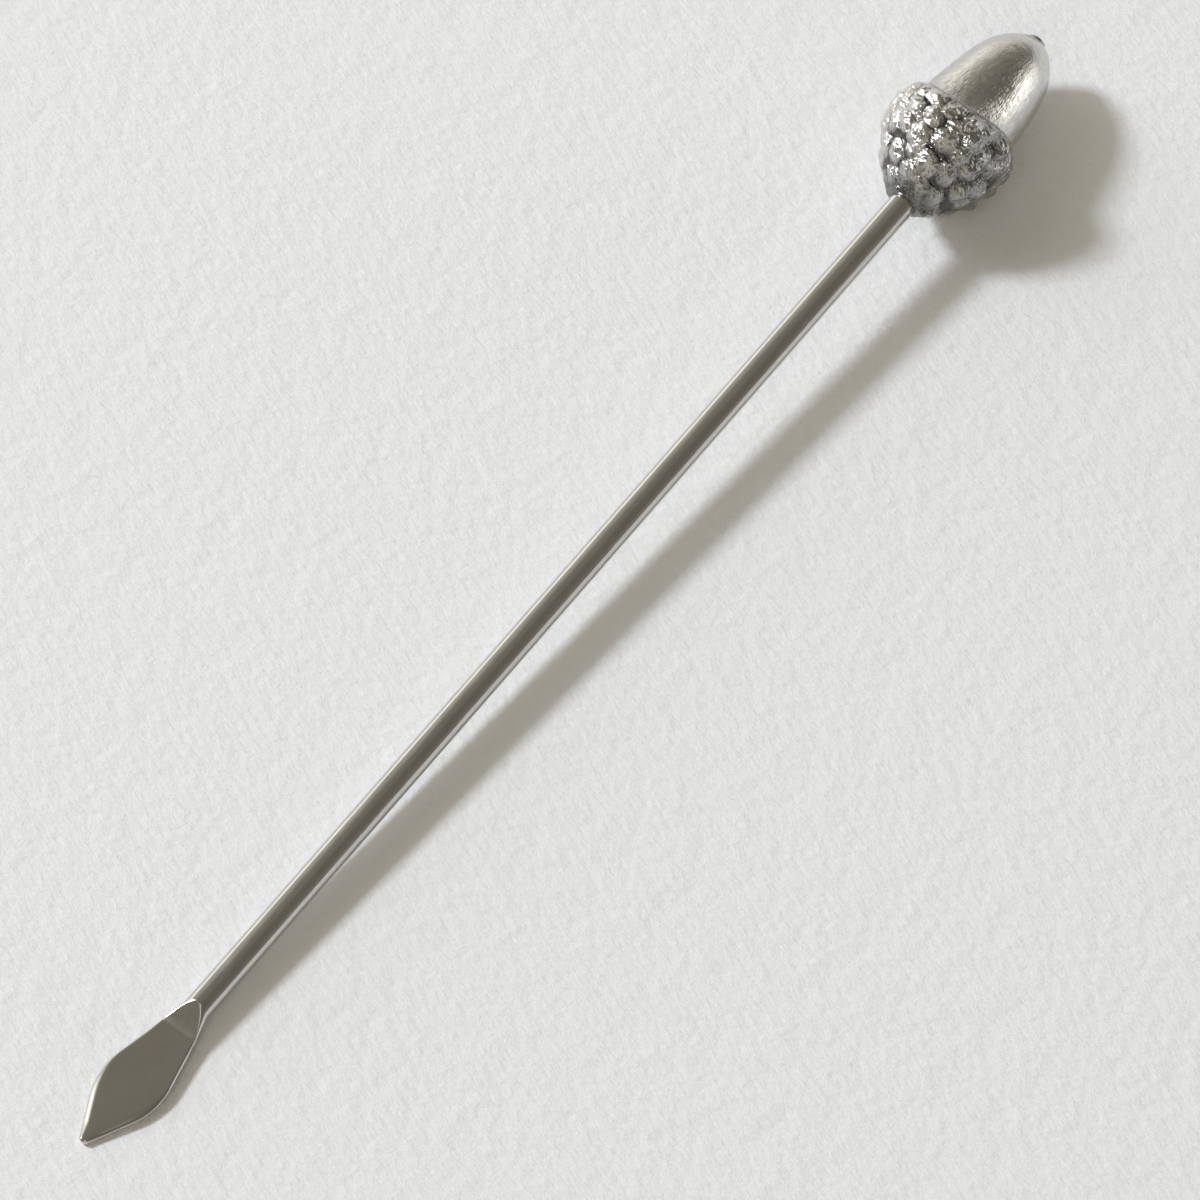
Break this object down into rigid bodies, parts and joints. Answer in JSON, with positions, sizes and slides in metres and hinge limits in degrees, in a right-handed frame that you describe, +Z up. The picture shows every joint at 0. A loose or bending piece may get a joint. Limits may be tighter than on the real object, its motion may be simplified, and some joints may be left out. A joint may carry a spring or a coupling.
{
  "type": "cocktail pick",
  "caption": "Slim straight steel cocktail pick with a flat leaf-shaped blade at its tip and a cast pewter acorn with a knobbly cap as its head.",
  "frame": {"origin": "centre of the pick's footprint, on the surface that it lies on", "axes": "+X along the pick, from the blade towards the acorn; +Z up from the surface; the rod climbs by about 2.7 degrees towards +X; +Y to the left, seen from the blade"},
  "size_m": [0.0984, 0.0088, 0.0086],
  "materials": {
    "polished_steel": "drawn stainless rod, polished to a soft mirror, with fine lengthwise lines; blade forged flat and polished",
    "cast_pewter": "cast pewter: bright knobs and dark oxidised grooves on the cap, polished nut with light scratches and a grainy patch by the lip"
  },
  "bodies": {
    "root": {"steel_pick": "polished_steel", "pewter_acorn": "cast_pewter"}
  },
  "joints": []
}
